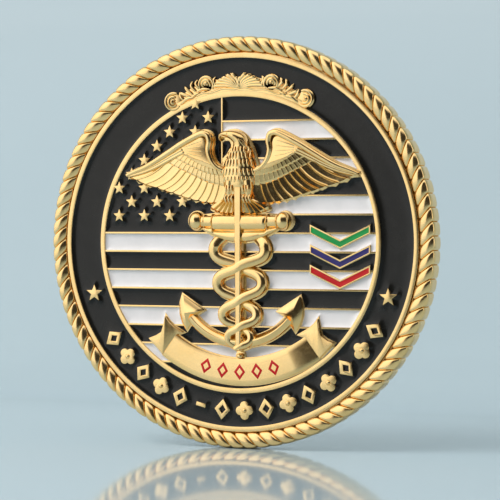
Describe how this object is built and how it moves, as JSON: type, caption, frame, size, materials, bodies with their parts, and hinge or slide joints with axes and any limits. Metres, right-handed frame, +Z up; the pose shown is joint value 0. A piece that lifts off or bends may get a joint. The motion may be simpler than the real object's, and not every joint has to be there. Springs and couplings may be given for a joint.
{
  "type": "challenge coin",
  "caption": "Round challenge coin with a rope rim, soft-enamel flag field and border, and a raised eagle, anchor and serpent-staff emblem over a ribbon.",
  "frame": {"origin": "on the surface the coin stands on, under the middle of its bounding box", "axes": "+Z up the face of the standing coin, +X to the right seen from the front, the front (obverse) faces -Y"},
  "size_m": [0.0508, 0.0042, 0.0508],
  "materials": {
    "gold_plate": "polished gold plate over cast zinc alloy",
    "black_enamel": "glossy soft enamel",
    "white_enamel": "glossy soft enamel",
    "green_enamel": "glossy soft enamel",
    "blue_enamel": "glossy soft enamel",
    "red_enamel": "glossy soft enamel"
  },
  "bodies": {
    "root": {"coin_body": "gold_plate", "border_enamel": "black_enamel", "canton_enamel": "black_enamel", "black_stripe_1": "black_enamel", "black_stripe_2": "black_enamel", "black_stripe_3": "black_enamel", "black_stripe_4": "black_enamel", "black_stripe_5": "black_enamel", "black_stripe_6": "black_enamel", "black_stripe_7": "black_enamel", "black_stripe_8": "black_enamel", "white_stripe_1": "white_enamel", "white_stripe_2": "white_enamel", "white_stripe_3": "white_enamel", "white_stripe_4": "white_enamel", "white_stripe_5": "white_enamel", "white_stripe_6": "white_enamel", "white_stripe_7": "white_enamel", "chevron_green_enamel": "green_enamel", "chevron_blue_enamel": "blue_enamel", "chevron_red_enamel": "red_enamel", "eagle": "gold_plate", "anchor": "gold_plate", "caduceus": "gold_plate", "ribbon": "gold_plate", "ribbon_enamel": "red_enamel", "reverse_border_enamel": "black_enamel"}
  },
  "joints": []
}
